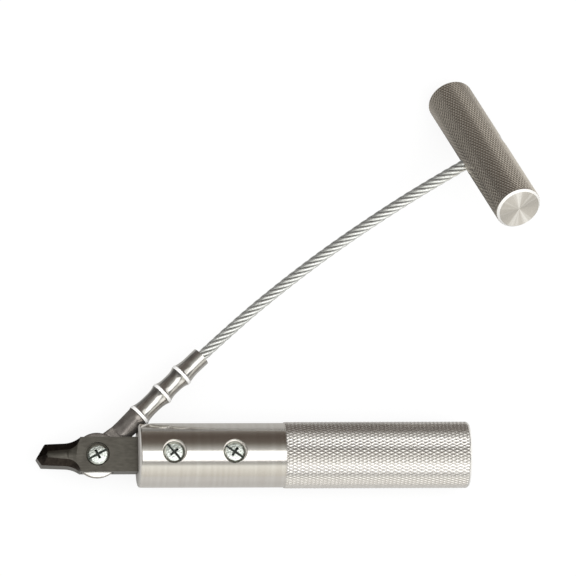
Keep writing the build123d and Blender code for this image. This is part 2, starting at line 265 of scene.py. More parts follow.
def node_tree(name, inputs):
    """New Geometry Nodes tree with named inputs; returns it and its inputs' outputs."""
    tree = bpy.data.node_groups.new(name, "GeometryNodeTree")
    for label, kind, value in inputs:
        socket = tree.interface.new_socket(
            label, in_out="INPUT", socket_type="NodeSocket" + kind
        )
        if value is not None:
            socket.default_value = value
    tree.interface.new_socket("Geometry", in_out="OUTPUT", socket_type="NodeSocketGeometry")
    return tree, add_node(tree, "NodeGroupInput").outputs


def end_tree(tree, sizes, geometry, choices=()):
    """End a tree: instances made real, its material set, and others on the chosen faces."""
    geometry = add_node(tree, "GeometryNodeRealizeInstances", {0: geometry})
    for chosen, label in ((True, "Material"), *choices):
        geometry = add_node(
            tree,
            "GeometryNodeSetMaterial",
            {"Geometry": geometry, "Selection": chosen, "Material": sizes[label]},
        )
    add_node(tree, "NodeGroupOutput", {0: geometry})


def to_metres(mesh):
    """Turn a finished mesh from millimetres to metres."""
    mesh.transform(Matrix.Scale(MM, 4))
    mesh.update()


# ---- camera ----
VIEW_RIGHT = Vector((0.9947, -0.0170, 0.1014)).normalized()
VIEW_BACK = Vector((-0.1028, -0.1641, 0.9811)).normalized()
VIEW_MIDDLE = Vector((-0.0382, 0.0688, 0.0181))
VIEW_DISTANCE = 3.3

camera = bpy.data.objects.new("camera", bpy.data.cameras.new("camera"))
camera.data.sensor_width = 36.0
camera.data.lens = 487.7
camera.data.clip_end = 20.0
camera.matrix_world = placing(
    VIEW_MIDDLE + VIEW_BACK * VIEW_DISTANCE, VIEW_RIGHT, VIEW_BACK.cross(VIEW_RIGHT), VIEW_BACK
)
scene.collection.objects.link(camera)
scene.camera = camera
scene.view_settings.view_transform = "Standard"


# ---- materials ----
def metal(name, colour, roughness, metallic=1.0, anisotropic=0.0):
    """Metal with the default IOR; a brushed one takes its grain from the turning map."""
    material = bpy.data.materials.new(name)
    material.use_nodes = True
    tree = material.node_tree
    tree.nodes.clear()
    values = {
        "Base Color": linear(colour),
        "Metallic": metallic,
        "Roughness": roughness,
        "Anisotropic": anisotropic,
    }
    if anisotropic:
        values["Tangent"] = add_node(
            tree, "ShaderNodeTangent", direction_type="UV_MAP", uv_map="turning"
        )
    shader = add_node(tree, "ShaderNodeBsdfPrincipled", values)
    add_node(tree, "ShaderNodeOutputMaterial", {"Surface": shader})
    return material, tree, shader


def vary(tree, shader, low, high, rough, per_mm, stretch=(1, 1, 1)):
    """Noise, with this many patches to a millimetre, that moves colour and roughness."""
    place = add_node(tree, "ShaderNodeTexCoord").outputs["Object"]
    place = add_node(tree, "ShaderNodeMapping", {"Vector": place, "Scale": stretch})
    noise = add_node(
        tree, "ShaderNodeTexNoise", {"Vector": place, "Scale": per_mm / MM, "Detail": 4.0}
    )
    share = add_node(tree, "ShaderNodeMapRange", {0: noise, "From Min": 0.35, "From Max": 0.65})
    mixed = add_node(
        tree,
        "ShaderNodeMix",
        {"Factor": share, 6: linear(low), 7: linear(high)},
        data_type="RGBA",
    ).outputs[2]
    tree.links.new(mixed, shader.inputs["Base Color"])
    level = add_node(
        tree, "ShaderNodeMapRange", {0: noise, "To Min": rough[0], "To Max": rough[1]}
    )
    tree.links.new(level.outputs[0], shader.inputs["Roughness"])
    return noise, mixed


# Turned aluminium: feed marks half a millimetre apart run round the bar, so highlights
# stretch along it.
turned_aluminium, tree, shader = metal("turned_aluminium", "#E3DFD8", 0.22, anisotropic=0.75)
vary(tree, shader, "#DFDBD5", "#E6E3DE", (0.2, 0.24), 0.5, stretch=(1, 0.04, 0.04))
place = add_node(tree, "ShaderNodeTexCoord").outputs["Object"]
place = add_node(tree, "ShaderNodeMapping", {"Vector": place, "Scale": (1, 0.01, 0.01)})
marks = add_node(
    tree, "ShaderNodeTexNoise", {"Vector": place, "Scale": 2.2 / MM, "Detail": 2.0}
)
bump = add_node(
    tree, "ShaderNodeBump", {"Height": marks, "Distance": 0.03 * MM, "Strength": 0.35}
)
tree.links.new(bump.outputs[0], shader.inputs["Normal"])

# Faced end of a bar: marks run in rings, so the sheen fans out from the middle; about nine
# rays of that sheen are also painted into the colour.
faced_aluminium, tree, shader = metal("faced_aluminium", "#D6D3CB", 0.26, anisotropic=0.92)
turn = add_node(tree, "ShaderNodeUVMap", uv_map="turning")
turn = add_node(tree, "ShaderNodeSeparateXYZ", {0: turn}).outputs["Y"]
rays = add_node(
    tree, "ShaderNodeTexNoise", {"W": turn, "Scale": 9.0, "Detail": 2.0}, noise_dimensions="1D"
)
rays = add_node(tree, "ShaderNodeMapRange", {0: rays, "From Min": 0.5, "From Max": 0.68})
rays = add_node(
    tree,
    "ShaderNodeMix",
    {"Factor": rays, 6: linear("#CCC8C0"), 7: linear("#ECEAE4")},
    data_type="RGBA",
).outputs[2]
tree.links.new(rays, shader.inputs["Base Color"])

# Knurled aluminium: rolled diamonds, a little duller than the turned bar.
# Warm knurl, on the pull handle: the same in a warmer grey, with warmer painted shade in finer
# grooves.
# Galvanised wire: pale grey, with painted shade in the gaps between the strands.
# Each is darker the deeper it lies, between two values of an attribute: painted shade.
grooves = ("groove_height", 0.0, 0.3)
gaps = ("from_middle", 1.6 * MM, 2.15 * MM)
deep_metals = []
for name, low, high, deep, metallic, rough, per_mm, (attribute, start, end) in (
    ("knurled_aluminium", "#E8E5E1", "#F2F0EC", "#B0ACA6", 0.92, (0.17, 0.24), 0.6, grooves),
    ("worn_knurl_aluminium", "#D6CFC2", "#E4DDD1", "#94857A", 0.96, (0.17, 0.24), 0.6, grooves),
    ("galvanised_wire", "#E6E8E5", "#F6F7F4", "#3C3D3A", 0.85, (0.16, 0.26), 1.2, gaps),
):
    material, tree, shader = metal(name, high, 0.2, metallic=metallic)
    _, colour = vary(tree, shader, low, high, rough, per_mm)
    depth = add_node(tree, "ShaderNodeAttribute", attribute_name=attribute).outputs["Fac"]
    depth = add_node(tree, "ShaderNodeMapRange", {0: depth, "From Min": start, "From Max": end})
    colour = add_node(
        tree, "ShaderNodeMix", {"Factor": depth, 6: linear(deep), 7: colour}, data_type="RGBA"
    ).outputs[2]
    tree.links.new(colour, shader.inputs["Base Color"])
    deep_metals.append(material)
knurled_aluminium, worn_knurl_aluminium, galvanised_wire = deep_metals

# Turned edges: near-white and not metal, a painted highlight.
# The handle's sawn front: a fine scratch that scatters the light.
chamfer_highlight_aluminium, _, _ = metal("chamfer_highlight_aluminium", "#F4F2EE", 0.4, metallic=0.0)
sawn_aluminium, _, _ = metal("sawn_aluminium", "#C6C3BD", 0.45, metallic=0.0)

# Black-oxide steel: dull dark coat, warm where the steel shows through it.
black_oxide_steel, tree, shader = metal("black_oxide_steel", "#5A5751", 0.36)
vary(tree, shader, "#54514B", "#615E57", (0.32, 0.38), 0.9, stretch=(0.3, 1, 1))

# Black oxide on the milled bevels, a darker copy of it for painted shade: deep and nearly matt.
black_bevel_shade_steel, tree, shader = metal("black_bevel_shade_steel", "#3A3531", 0.38)
vary(tree, shader, "#332E2B", "#423C37", (0.34, 0.44), 0.7)

# Ground edge of the black head: the coat is thin there and the steel glints.
worn_edge_steel, _, _ = metal("worn_edge_steel", "#A39D94", 0.3)

# Zinc-plated steel: bright and faintly blue, in facets of two thirds of a millimetre. They are
# drawn coarser than the real crystals, which would be too fine to show.
zinc_plated_steel, tree, shader = metal("zinc_plated_steel", "#DCE2DC", 0.14)
noise, _ = vary(tree, shader, "#C6CDC6", "#E0E4DF", (0.1, 0.2), 1.5)
bump = add_node(
    tree, "ShaderNodeBump", {"Height": noise, "Distance": 0.15 * MM, "Strength": 1.0}
)
tree.links.new(bump.outputs[0], shader.inputs["Normal"])

# Nickel-plated steel, pressed in a die: bright, slightly yellow, with soft waves.
nickel_plated_steel, tree, shader = metal("nickel_plated_steel", "#D3D1CB", 0.16, metallic=0.94)
vary(tree, shader, "#C9C7C2", "#DCDAD6", (0.12, 0.2), 0.35)

# The crests of the ferrule's ribs: matt near-white, not metal, a painted highlight.
rib_crest_highlight, _, _ = metal("rib_crest_highlight", "#FCFBF9", 0.4, metallic=0.0)

# Nickel plate darkened as painted shade, on the ferrule's squeezed start and the rope eye's neck.
nickel_painted_shade, tree, shader = metal("nickel_painted_shade", "#98928C", 0.22, metallic=0.75)
vary(tree, shader, "#8C8681", "#A39D97", (0.18, 0.28), 0.42)

# Painted shade in the screws' slots.
zinc_recess_shade, _, _ = metal("zinc_recess_shade", "#3F433F", 0.35)

# ---- wire rope ----
route = bpy.data.curves.new("rope_route", "CURVE")
route.dimensions = "3D"
route.resolution_u = 40
spline = route.splines.new("NURBS")
spline.points.add(len(ROPE_ROUTE) - 1)
for point, corner in zip(spline.points, ROPE_ROUTE):
    point.co = (*(corner * MM), 1.0)
spline.order_u = 3
spline.use_endpoint_u = True
route_object = bpy.data.objects.new("rope_route", route)
scene.collection.objects.link(route_object)
route_mesh = result_of(route_object)

tree, sizes = node_tree(
    "laid_rope",
    (
        ("Geometry", "Geometry", None),
        ("Step", "Float", 0.0007),
        ("Strands", "Int", 6),
        ("Strand Offset", "Float", 0.0016),
        ("Rope Lay", "Float", 0.0225),
        ("Strand Radius", "Float", 0.0008),
        ("Outer Wires", "Int", 12),
        ("Wire Relief", "Float", 0.00005),
        ("Strand Lay", "Float", 0.0078),
        ("Points Round Strand", "Int", 48),
        ("Points Round Core", "Int", 8),
        ("Material", "Material", None),
    ),
)
core = add_node(tree, "GeometryNodeMeshToCurve", {0: sizes["Geometry"]})
core = add_node(
    tree, "GeometryNodeResampleCurve", {"Curve": core, "Length": sizes["Step"]}, mode="LENGTH"
)
# Copies of the route, moved out into helices round it. The outer wires of a strand run round
# it the other way.
strands = add_node(
    tree,
    "GeometryNodeDuplicateElements",
    {"Geometry": core, "Amount": sizes["Strands"]},
    domain="SPLINE",
)
share = add_node(
    tree, "ShaderNodeMath", {0: strands.outputs[1], 1: sizes["Strands"]}, operation="DIVIDE"
)
angle = tilt = add_node(tree, "GeometryNodeSplineParameter").outputs["Length"]
for operation, other in (("DIVIDE", sizes["Rope Lay"]), ("ADD", share), ("MULTIPLY", 2 * pi)):
    angle = add_node(tree, "ShaderNodeMath", {0: angle, 1: other}, operation=operation)
for operation, other in (("DIVIDE", sizes["Strand Lay"]), ("MULTIPLY", -2 * pi)):
    tilt = add_node(tree, "ShaderNodeMath", {0: tilt, 1: other}, operation=operation)
out = add_node(
    tree,
    "ShaderNodeVectorRotate",
    {
        "Vector": add_node(tree, "GeometryNodeInputNormal"),
        "Axis": add_node(tree, "GeometryNodeInputTangent"),
        "Angle": angle,
    },
    rotation_type="AXIS_ANGLE",
)
out = add_node(
    tree, "ShaderNodeVectorMath", {0: out, 3: sizes["Strand Offset"]}, operation="SCALE"
)
strands = add_node(tree, "GeometryNodeSetPosition", {"Geometry": strands, "Offset": out})
strands = add_node(tree, "GeometryNodeSetCurveTilt", {"Curve": strands, "Tilt": tilt})
# A strand's outline dips between its outer wires.
profile = add_node(
    tree,
    "GeometryNodeCurvePrimitiveCircle",
    {"Resolution": sizes["Points Round Strand"], "Radius": sizes["Strand Radius"]},
)
spot = add_node(tree, "GeometryNodeInputPosition")
split = add_node(tree, "ShaderNodeSeparateXYZ", {0: spot}).outputs
dip = add_node(tree, "ShaderNodeMath", {0: split["Y"], 1: split["X"]}, operation="ARCTAN2")
for operation, other in (
    ("MULTIPLY", sizes["Outer Wires"]),
    ("MULTIPLY", 0.5),
    ("COSINE", 0.0),
    ("ABSOLUTE", 0.0),
    ("SUBTRACT", 1.0),
    ("MULTIPLY", sizes["Wire Relief"]),
):
    dip = add_node(tree, "ShaderNodeMath", {0: dip, 1: other}, operation=operation)
outwards = add_node(tree, "ShaderNodeVectorMath", {0: spot}, operation="NORMALIZE")
dip = add_node(tree, "ShaderNodeVectorMath", {0: outwards, 3: dip}, operation="SCALE")
profile = add_node(tree, "GeometryNodeSetPosition", {"Geometry": profile, "Offset": dip})
core_profile = add_node(
    tree,
    "GeometryNodeCurvePrimitiveCircle",
    {"Resolution": sizes["Points Round Core"], "Radius": sizes["Strand Radius"]},
)
rope = add_node(tree, "GeometryNodeJoinGeometry")
for line, outline in ((core, core_profile), (strands, profile)):
    tube = add_node(
        tree,
        "GeometryNodeCurveToMesh",
        {"Curve": line, "Profile Curve": outline, "Fill Caps": True},
    )
    tree.links.new(tube.outputs[0], rope.inputs[0])
# How far each point lies from the middle of the rope, for the painted shade between the strands.
line = add_node(tree, "GeometryNodeCurveToMesh", {"Curve": core})
depth = add_node(tree, "GeometryNodeProximity", {0: line}, target_element="EDGES")
rope = add_node(
    tree,
    "GeometryNodeStoreNamedAttribute",
    {"Geometry": rope, "Name": "from_middle", "Value": depth.outputs["Distance"]},
    data_type="FLOAT",
    domain="POINT",
)
end_tree(tree, sizes, rope)

rope_mesh = grow("wire_rope", tree, {"Material": galvanised_wire}, source=route_mesh)
shade(rope_mesh, 60)
wire_rope = new_object("wire_rope_strands", rope_mesh)
bpy.data.objects.remove(route_object)

# ---- knurl: on the grip, diamonds 1.5 mm wide and 3.3 mm long ----
knurled_bar, sizes = node_tree(
    "knurled_bar",
    (
        ("Radius", "Float", GRIP_R),
        ("Length", "Float", GRIP_LENGTH),
        ("Cells Around", "Int", 59),
        ("Cells Along", "Int", 24),
        ("Steps", "Int", 6),
        ("Groove Depth", "Float", 0.26),
        ("Flat Share", "Float", 0.2),
        ("Start Chamfer", "Float", 0.25),
        ("End Chamfer", "Float", 1.0),
        ("Material", "Material", None),
        ("Edge Material", "Material", None),
        ("End Material", "Material", None),
    ),
)
tree = knurled_bar
count_around, count_along = (
    add_node(tree, "ShaderNodeMath", {0: sizes[cells], 1: sizes["Steps"]}, operation="MULTIPLY")
    for cells in ("Cells Around", "Cells Along")
)
bar = add_node(
    tree,
    "GeometryNodeMeshCylinder",
    {
        "Vertices": count_around,
        "Side Segments": count_along,
        "Fill Segments": 5,
        "Radius": sizes["Radius"],
        "Depth": sizes["Length"],
    },
    fill_type="TRIANGLE_FAN",
)
place = add_node(tree, "GeometryNodeInputPosition")
split = add_node(tree, "ShaderNodeSeparateXYZ", {0: place}).outputs
# Cells counted round the bar and along it, and the two families of grooves across them.
across = add_node(tree, "ShaderNodeMath", {0: split["Y"], 1: split["X"]}, operation="ARCTAN2")
for operation, other in (("DIVIDE", 2 * pi), ("MULTIPLY", sizes["Cells Around"])):
    across = add_node(tree, "ShaderNodeMath", {0: across, 1: other}, operation=operation)
along = split["Z"]
for operation, other in (
    ("DIVIDE", sizes["Length"]),
    ("ADD", 0.5),
    ("MULTIPLY", sizes["Cells Along"]),
):
    along = add_node(tree, "ShaderNodeMath", {0: along, 1: other}, operation=operation)
families = []
for way in ("ADD", "SUBTRACT"):
    family = add_node(tree, "ShaderNodeMath", {0: along, 1: across}, operation=way)
    families.append(
        add_node(tree, "ShaderNodeMath", {0: family, 1: 0.5}, operation="PINGPONG")
    )
flank = add_node(tree, "ShaderNodeMath", {0: 1.0, 1: sizes["Flat Share"]}, operation="SUBTRACT")
flank = add_node(tree, "ShaderNodeMath", {0: flank, 1: 0.5}, operation="MULTIPLY")
height = add_node(tree, "ShaderNodeMath", dict(enumerate(families)), operation="MINIMUM")
height = add_node(
    tree, "ShaderNodeMath", {0: height, 1: flank}, operation="DIVIDE", use_clamp=True
)
radius = height
for operation, other in (
    ("SUBTRACT", 1.0),
    ("MULTIPLY", sizes["Groove Depth"]),
    ("ADD", sizes["Radius"]),
):
    radius = add_node(tree, "ShaderNodeMath", {0: radius, 1: other}, operation=operation)
# The chamfers cut into the knurl as cones.
half = add_node(tree, "ShaderNodeMath", {0: sizes["Length"], 1: 0.5}, operation="MULTIPLY")
for sign, chamfer in ((1.0, "Start Chamfer"), (-1.0, "End Chamfer")):
    rim = add_node(
        tree, "ShaderNodeMath", {0: sizes["Radius"], 1: sizes[chamfer]}, operation="SUBTRACT"
    )
    cone = split["Z"]
    for operation, other in (("MULTIPLY", sign), ("ADD", half), ("ADD", rim)):
        cone = add_node(tree, "ShaderNodeMath", {0: cone, 1: other}, operation=operation)
    radius = add_node(tree, "ShaderNodeMath", {0: radius, 1: cone}, operation="MINIMUM")
shrink = add_node(tree, "ShaderNodeMath", {0: radius, 1: sizes["Radius"]}, operation="DIVIDE")
shrink = add_node(tree, "ShaderNodeCombineXYZ", {"X": shrink, "Y": shrink, "Z": 1.0})
moved = add_node(tree, "ShaderNodeVectorMath", {0: place, 1: shrink}, operation="MULTIPLY")
bar = add_node(
    tree,
    "GeometryNodeStoreNamedAttribute",
    {"Geometry": bar, "Name": "groove_height", "Value": height},
    data_type="FLOAT",
    domain="POINT",
)
bar = add_node(tree, "GeometryNodeSetPosition", {"Geometry": bar, "Position": moved})
bar = add_node(tree, "GeometryNodeTriangulate", {0: bar})
# The chamfers and then the ends, by how far a face looks along the bar.
facing = add_node(tree, "GeometryNodeInputNormal")
facing = add_node(tree, "ShaderNodeSeparateXYZ", {0: facing}).outputs["Z"]
facing = add_node(tree, "ShaderNodeMath", {0: facing}, operation="ABSOLUTE")
choices = []
for least, label in ((0.6, "Edge Material"), (0.9, "End Material")):
    found = add_node(tree, "FunctionNodeCompare", {0: facing, 1: least}, operation="GREATER_THAN")
    choices.append((found, label))
end_tree(tree, sizes, bar, choices)
bar_ends = {"Edge Material": chamfer_highlight_aluminium, "End Material": faced_aluminium}

# ---- handle: smooth barrel and knurled grip ----
BARREL_AROUND, HOLE_AROUND, BORE_AROUND = 256, 96, 64
OVERLAP = 0.3            # the barrel reaches this far into the grip
CUT_SPARE = 2.0          # a cutting shape reaches this far past what it cuts
EDGE_SHARES = ((0, 1), (0.12, 0.55), (0.55, 0.12), (1, 0))     # back and in, of FRONT_EDGE

barrel_end = X_SHOULDER + OVERLAP
profile = [(X_FRONT, 0), (X_FRONT, 0.45 * BARREL_R)]
profile += [
    (X_FRONT + back * FRONT_EDGE, BARREL_R - down * FRONT_EDGE) for back, down in EDGE_SHARES
]
profile += [(barrel_end, BARREL_R), (barrel_end, 0)]
barrel = new_object(
    "handle_barrel", turned(profile, BARREL_AROUND), [turned_aluminium, sawn_aluminium]
)
front = X_FRONT - CUT_SPARE
pocket_top = HEAD_TOP + HEAD_FIT
pocket = prism(
    rectangle(front, X_FRONT + POCKET_LENGTH, HEAD_SIDE + HEAD_FIT), -pocket_top, pocket_top
)
notch_end = X_FRONT + NOTCH_LENGTH - NOTCH_R
notch_turns = [pi * k / 32 for k in range(33)]
notch_outline = [(front, NOTCH_R)]
notch_outline += [(notch_end + NOTCH_R * sin(a), NOTCH_R * cos(a)) for a in notch_turns]
notch_outline.append((front, -NOTCH_R))
notch = prism(notch_outline, NOTCH_FOOT, GRIP_R + CUT_SPARE)
notch.transform(Matrix.Rotation(radians(-90), 4, "X"))
cutters = [pocket, notch]
for screw_place in SCREW_PLACES:
    for radius, low in ((COUNTERBORE_R, SCREW_SEAT), (SCREW_HOLE_R, SCREW_HOLE_FOOT)):
        hole = circle(X_FRONT + screw_place, radius, HOLE_AROUND)
        cutters.append(prism(hole, low, GRIP_R + CUT_SPARE))
cut(barrel, cutters)
shade(barrel.data, 30)
turning_map(barrel.data, Vector(), ALONG_HANDLE)
# The sawn front gets its own finish, and the turned side the normals of a true cylinder.
normals = [tuple(normal.vector) for normal in barrel.data.corner_normals]
for face in barrel.data.polygons:
    centre = face.center
    if centre.x < X_FRONT + 0.6 * FRONT_EDGE and face.normal.x < -0.3:
        face.material_index = 1
    outward = Vector((0, centre.y, centre.z)).normalized()
    if abs(hypot(centre.y, centre.z) - BARREL_R) < 0.05 and face.normal.dot(outward) > 0.999:
        for loop in face.loop_indices:
            corner = barrel.data.vertices[barrel.data.loops[loop].vertex_index].co
            normals[loop] = tuple(Vector((0, corner.y, corner.z)).normalized())
barrel.data.normals_split_custom_set(normals)
to_metres(barrel.data)

grip_mesh = grow("knurled_grip", knurled_bar, {"Material": knurled_aluminium, **bar_ends})
grip_mesh.transform(Matrix.Rotation(radians(90), 4, "Y"))
grip_mesh.shade_flat()
turning_map(grip_mesh, Vector(), ALONG_HANDLE)
to_metres(grip_mesh)
grip = new_object("knurled_grip", grip_mesh)

# ---- pull handle ----
pull_mesh = grow(
    "pull_bar",
    knurled_bar,
    {
        "Radius": PULL_R,
        "Length": PULL_LENGTH,
        "Cells Around": 48,
        "Cells Along": 30,
        "Groove Depth": 0.16,
        "Flat Share": 0.3,
        "Start Chamfer": PULL_CHAMFER,
        "End Chamfer": PULL_CHAMFER,
        "Material": worn_knurl_aluminium,
        **bar_ends,
    },
)
# Along the rope, across both and along the bar, from the bar's middle.
pull_place = placing(PULL_CENTRE, ROPE_ENTRY, PULL_AXIS.cross(ROPE_ENTRY), PULL_AXIS)
pull_mesh.transform(pull_place)
pull_bar = new_object("pull_bar", pull_mesh)
bores = []
far = PULL_R + CUT_SPARE
for radius, low in ((ROPE_R + 0.1, -far), (STOP_BORE_R, STOP_SEAT)):
    bore = turned(((low, 0), (low, radius), (far, radius), (far, 0)), BORE_AROUND)
    bore.transform(pull_place)
    bores.append(bore)
cut(pull_bar, bores)
pull_bar.data.shade_flat()
turning_map(pull_bar.data, PULL_CENTRE, PULL_AXIS)
to_metres(pull_bar.data)

# The stop swaged on the rope's end: its domed end stays inside the bar at every turn of it.
STOP_DOME_R = 9.8
dome = [STOP_R * k / 8 for k in range(8, -1, -1)]
stop_mesh = turned(
    [(STOP_SEAT, 0), (STOP_SEAT, STOP_R)] + [(sqrt(STOP_DOME_R ** 2 - r ** 2), r) for r in dome],
    BORE_AROUND,
)
stop_mesh.transform(pull_place)
shade(stop_mesh, 30)
to_metres(stop_mesh)
rope_stop = new_object("swaged_stop", stop_mesh, [nickel_plated_steel])

# ---- ferrule ----
START_R, SLEEVE_R, WAIST_R, MOUTH_R, RIB_R = 4.4, 4.75, 4.15, 4.1, 5.05
RIB_HALF, RIB_SLOPE, RIB_CROWN = 0.65, 0.4, 0.05
MOUTH_RUN = 5.0
FLAT_TO, FLAT_HALF = 24.0, 1.9      # squeezed flat at the eye, round again here
FERRULE_BORE_R = ROPE_R + 0.05
BORE_EDGE = 0.25
FERRULE_AROUND = 72
RIB_NEAR, FINE_STEP, PLAIN_STEP = 1.3, 0.1, 0.35     # rings stand closer this near to a rib


def ferrule_radius(distance):
    """Radius of the sleeve at this distance from the pivot, ribs and crimps included."""
    edges = [FERRULE_START]
    for rib in RIB_PLACES:
        away = abs(distance - rib)
        if away < RIB_HALF:
            return RIB_R - RIB_CROWN * (away / RIB_HALF) ** 4
        if away < RIB_HALF + RIB_SLOPE:
            share = (away - RIB_HALF) / RIB_SLOPE
            return RIB_R - RIB_CROWN + (SLEEVE_R - RIB_R + RIB_CROWN) * share
        edges += [rib - RIB_HALF - RIB_SLOPE, rib + RIB_HALF + RIB_SLOPE]
    edges.append(FERRULE_END)
    for number in range(0, len(edges), 2):
        low, high = edges[number], edges[number + 1]
        if low <= distance <= high:
            share = (distance - low) / (high - low)
            if number == 0:
                return START_R + (SLEEVE_R - START_R) * share ** 2
            if number == len(edges) - 2:
                drop = min(1.0, (distance - low) / MOUTH_RUN)
                return SLEEVE_R + (MOUTH_R - SLEEVE_R) * (1 - (1 - drop) ** 2)
            return SLEEVE_R - (SLEEVE_R - WAIST_R) * (1 - abs(2 * share - 1) ** 3)
    return SLEEVE_R


stations = [FERRULE_START]
while stations[-1] < FERRULE_END:
    near_rib = any(abs(stations[-1] - rib) < RIB_NEAR for rib in RIB_PLACES)
    stations.append(min(FERRULE_END, stations[-1] + (FINE_STEP if near_rib else PLAIN_STEP)))
# Each ring is a distance from the pivot, a radius and the half thickness it is squeezed to.
rings = []
for distance in stations:
    share = min(1.0, (distance - FERRULE_START) / (FLAT_TO - FERRULE_START))
    flat_half = FLAT_HALF + (RIB_R - FLAT_HALF) * share
    rings.append((distance, ferrule_radius(distance), flat_half))
rings += [
    (FERRULE_END, FERRULE_BORE_R + BORE_EDGE, RIB_R),
    (FERRULE_END - BORE_EDGE, FERRULE_BORE_R, RIB_R),
    (TONGUE_END, FERRULE_BORE_R, RIB_R),
]
verts, faces = [], []
for distance, radius, flat_half in rings:
    for k in range(FERRULE_AROUND):
        turn = 2 * pi * k / FERRULE_AROUND
        aside, up = radius * cos(turn), min(radius, flat_half) * sin(turn)
        verts.append(PIVOT + FERRULE_AXIS * distance + FERRULE_SIDE * aside + UP * up)
starts = [FERRULE_AROUND * number for number in range(len(rings))]
for low, high in zip(starts[:-1], starts[1:]):
    for k in range(FERRULE_AROUND):
        after = (k + 1) % FERRULE_AROUND
        faces.append((low + k, low + after, high + after, high + k))
faces.append(tuple(reversed(range(FERRULE_AROUND))))
faces.append(tuple(range(starts[-1], len(verts))))
sleeve = new_object(
    "crimped_sleeve", mesh_of(verts, faces), [nickel_plated_steel, rib_crest_highlight, nickel_painted_shade]
)
# Rib crests get the painted highlight; the squeezed start before the first rib, painted shade.
for face in sleeve.data.polygons:
    distance = (face.center - PIVOT).dot(FERRULE_AXIS)
    outside = (face.center - PIVOT - FERRULE_AXIS * distance).length > RIB_R - 2 * RIB_CROWN
    if outside and any(abs(distance - rib) < RIB_HALF for rib in RIB_PLACES):
        face.material_index = 1
    elif distance < RIB_PLACES[0]:
        face.material_index = 2
shade(sleeve.data, 32)
to_metres(sleeve.data)

# ---- rope eye: slightly domed plate and neck, with its tongue inside the ferrule ----
EYE_R, EYE_HALF, EYE_EDGE = 9.7, 1.4, 0.55
EYE_BORE_R = 3.05
NECK_ROOT, NECK_END = 5.0, 4.4
NECK_BACK = 1.0          # the neck narrows from this far inside the eye's rim
DOME_FROM, DOME_TO, DOME_SLOPE = 4.0, 7.0, 0.0875
TONGUE_HALF, TONGUE_THICK = 2.0, 0.6
DISC_STEPS, EYE_ACROSS = 36, 40
NECK_STEP = 0.3


def eye_half_width(reach):
    """Half width of the eye or its neck at this distance from the pivot, along the ferrule."""
    disc = sqrt(max(0.0, EYE_R ** 2 - reach ** 2))
    root = EYE_R - NECK_BACK
    share = max(0.0, min(1.0, (reach - root) / (FERRULE_START - root)))
    return max(disc, NECK_ROOT + (NECK_END - NECK_ROOT) * share if reach > 0 else 0.0)


def eye_height(reach, aside):
    """Height of the eye's upper side over its mid plane."""
    away = hypot(reach, aside)
    bend = max(0.0, min(away, DOME_TO) - DOME_FROM)
    drop = DOME_SLOPE * (bend ** 2 / (2 * (DOME_TO - DOME_FROM)) + max(0.0, away - DOME_TO))
    edge = eye_half_width(reach) - abs(aside)
    if reach < 0 or EYE_R > away > EYE_R - EYE_EDGE:
        edge = EYE_R - away
    inside = max(0.0, EYE_EDGE - max(0.0, edge))
    return EYE_HALF - drop - EYE_EDGE + sqrt(EYE_EDGE ** 2 - inside ** 2)


verts, faces, rings = [], [], []
reaches = [-EYE_R * cos(pi / 2 * k / DISC_STEPS) for k in range(DISC_STEPS + 1)]
reaches += [NECK_STEP * k for k in range(1, int(FERRULE_START / NECK_STEP))] + [FERRULE_START]
for reach in reaches:
    half_width = eye_half_width(reach)
    row = [half_width * sin(pi * (k / EYE_ACROSS - 0.5)) for k in range(EYE_ACROSS + 1)]
    ring = [(reach, aside, eye_height(reach, aside)) for aside in row]
    ring += [(reach, aside, -eye_height(reach, aside)) for aside in reversed(row)]
    rings.append(range(len(verts), len(verts) + len(ring)))
    verts += ring
for low, high in zip(rings[:-1], rings[1:]):
    for k in range(len(low)):
        after = (k + 1) % len(low)
        faces.append((low[k], low[after], high[after], high[k]))
faces.append(tuple(rings[-1]))
eye = new_object("rope_eye_plate", mesh_of(verts, faces), [nickel_plated_steel, nickel_painted_shade])
cut(eye, [prism(circle(0, EYE_BORE_R, BORE_AROUND), -2 * EYE_HALF, 2 * EYE_HALF)])
tongue = rectangle(FERRULE_START - 1, TONGUE_END, TONGUE_HALF)
cut(eye, [prism(tongue, -TONGUE_THICK, TONGUE_THICK)], "UNION")
eye.data.transform(placing(PIVOT, FERRULE_AXIS, FERRULE_SIDE, UP))
# The eye's neck and its half towards the back, and its rim, get the painted shade.
for face in eye.data.polygons:
    face.material_index = 1 if face.center.y > 0 or face.normal.z < 0.75 else 0
shade(eye.data, 40)
to_metres(eye.data)

# ---- cutter head: the CAD shape with its edges broken ----
BLADE_FROM = 24.0        # in front of the handle
BEVEL_SLOPES = (0.15, 0.97)     # how far up the milled bevels face

head_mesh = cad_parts["cutter_head"].data.copy()
head = new_object(
    "cutter_head_blade", head_mesh, [black_oxide_steel, worn_edge_steel, black_bevel_shade_steel]
)
shape = bmesh.new()
shape.from_mesh(head_mesh)
bmesh.ops.remove_doubles(shape, verts=shape.verts, dist=1e-7)
bmesh.ops.dissolve_limit(
    shape, angle_limit=radians(1.0), verts=shape.verts, edges=shape.edges, delimit={"NORMAL"}
)
shape.to_mesh(head_mesh)
shape.free()
for face in head_mesh.polygons:
    face.material_index = 0
break_edges(head, 0.12 * MM, 35, material=1)
# Bevels of the blade that face part way up get the painted shade.
for face in head.data.polygons:
    on_bevel = BEVEL_SLOPES[0] < face.normal.z < BEVEL_SLOPES[1]
    if on_bevel and face.center.x < (X_FRONT - BLADE_FROM) * MM:
        face.material_index = 2
shade(head.data, 25)

# ---- screws ----
SCREW_R, HEAD_R = 2.5, 4.65
HEAD_ROUND, ROUND_SQUASH = 1.5, 0.8
CROWN = 0.16             # rise of the head's middle over the start of its rounded edge
TOP_R, TOP_DROP = 1.6, 0.04     # the nearly flat top
SLOT_HALF, SLOT_DEPTH = 0.5, 0.95
CROSS_LONG, CROSS_HALF, CROSS_DEPTH, CROSS_TAPER = 2.5, 0.62, 1.5, 0.62


